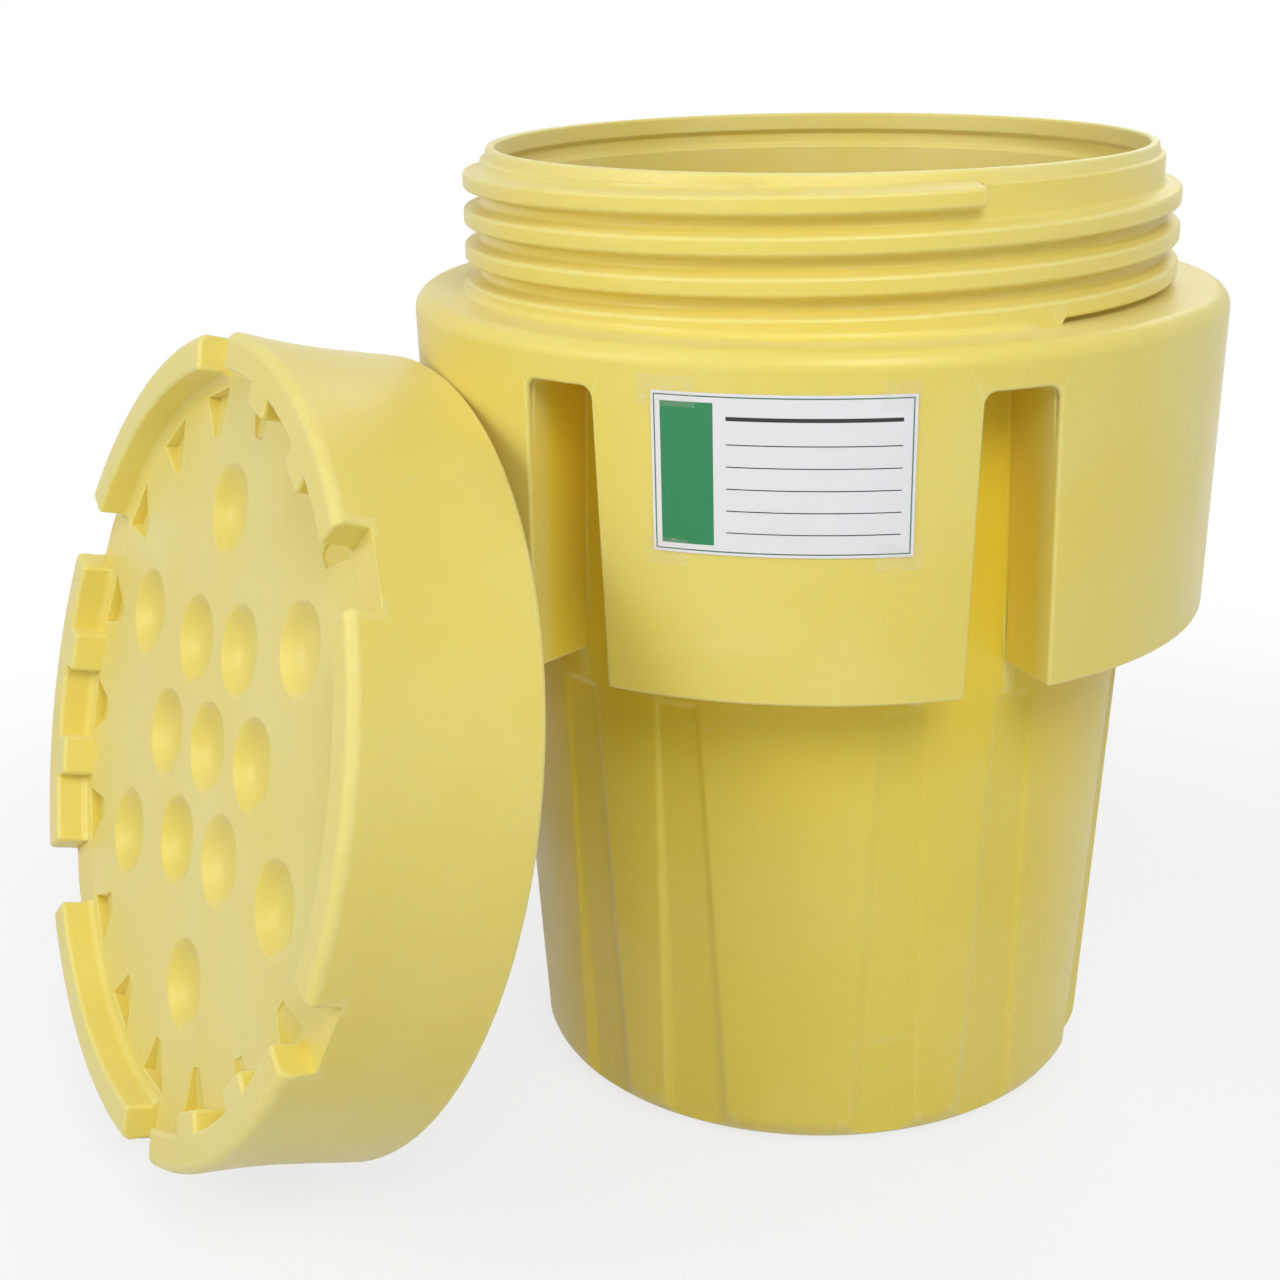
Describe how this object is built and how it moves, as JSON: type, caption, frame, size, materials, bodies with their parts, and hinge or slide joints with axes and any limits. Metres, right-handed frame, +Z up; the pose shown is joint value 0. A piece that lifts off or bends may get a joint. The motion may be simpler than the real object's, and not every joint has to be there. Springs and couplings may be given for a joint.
{
  "type": "overpack salvage drum",
  "caption": "Thick-walled yellow plastic overpack drum with a stepped, slotted skirt and a coarse screw neck; its ribbed screw lid is off and leans against the side.",
  "frame": {"origin": "centre of the drum's flat base, on the floor", "axes": "+Z up along the drum's axis, -Y towards the label, lid leaning on the -X -Y side"},
  "size_m": [1.1214, 0.9601, 0.868],
  "materials": {
    "drum_polyethylene": "waxy rotomoulded polyethylene, slightly translucent, satin",
    "lid_polyethylene": "waxy rotomoulded polyethylene, slightly translucent, satin",
    "gasket_rubber": "closed-cell sponge rubber, matte",
    "label_paper": "coated white label stock with a thin green border, no print",
    "tape_film": "clear adhesive film"
  },
  "bodies": {
    "drum": {"drum_body": "drum_polyethylene", "label": "label_paper", "label_tape_top_left": "tape_film", "label_tape_top_right": "tape_film", "label_tape_bottom_left": "tape_film", "label_tape_bottom_right": "tape_film"},
    "lid": {"lid": "lid_polyethylene", "lid_gasket": "gasket_rubber"}
  },
  "joints": [
    {"name": "lid_tip", "type": "hinge", "parent": "drum", "child": "lid", "pos_m": [-0.60215, -0.37704, 0.0002], "axis": [0.628, -0.7782, 0], "range_deg": [0, 104.2]}
  ]
}
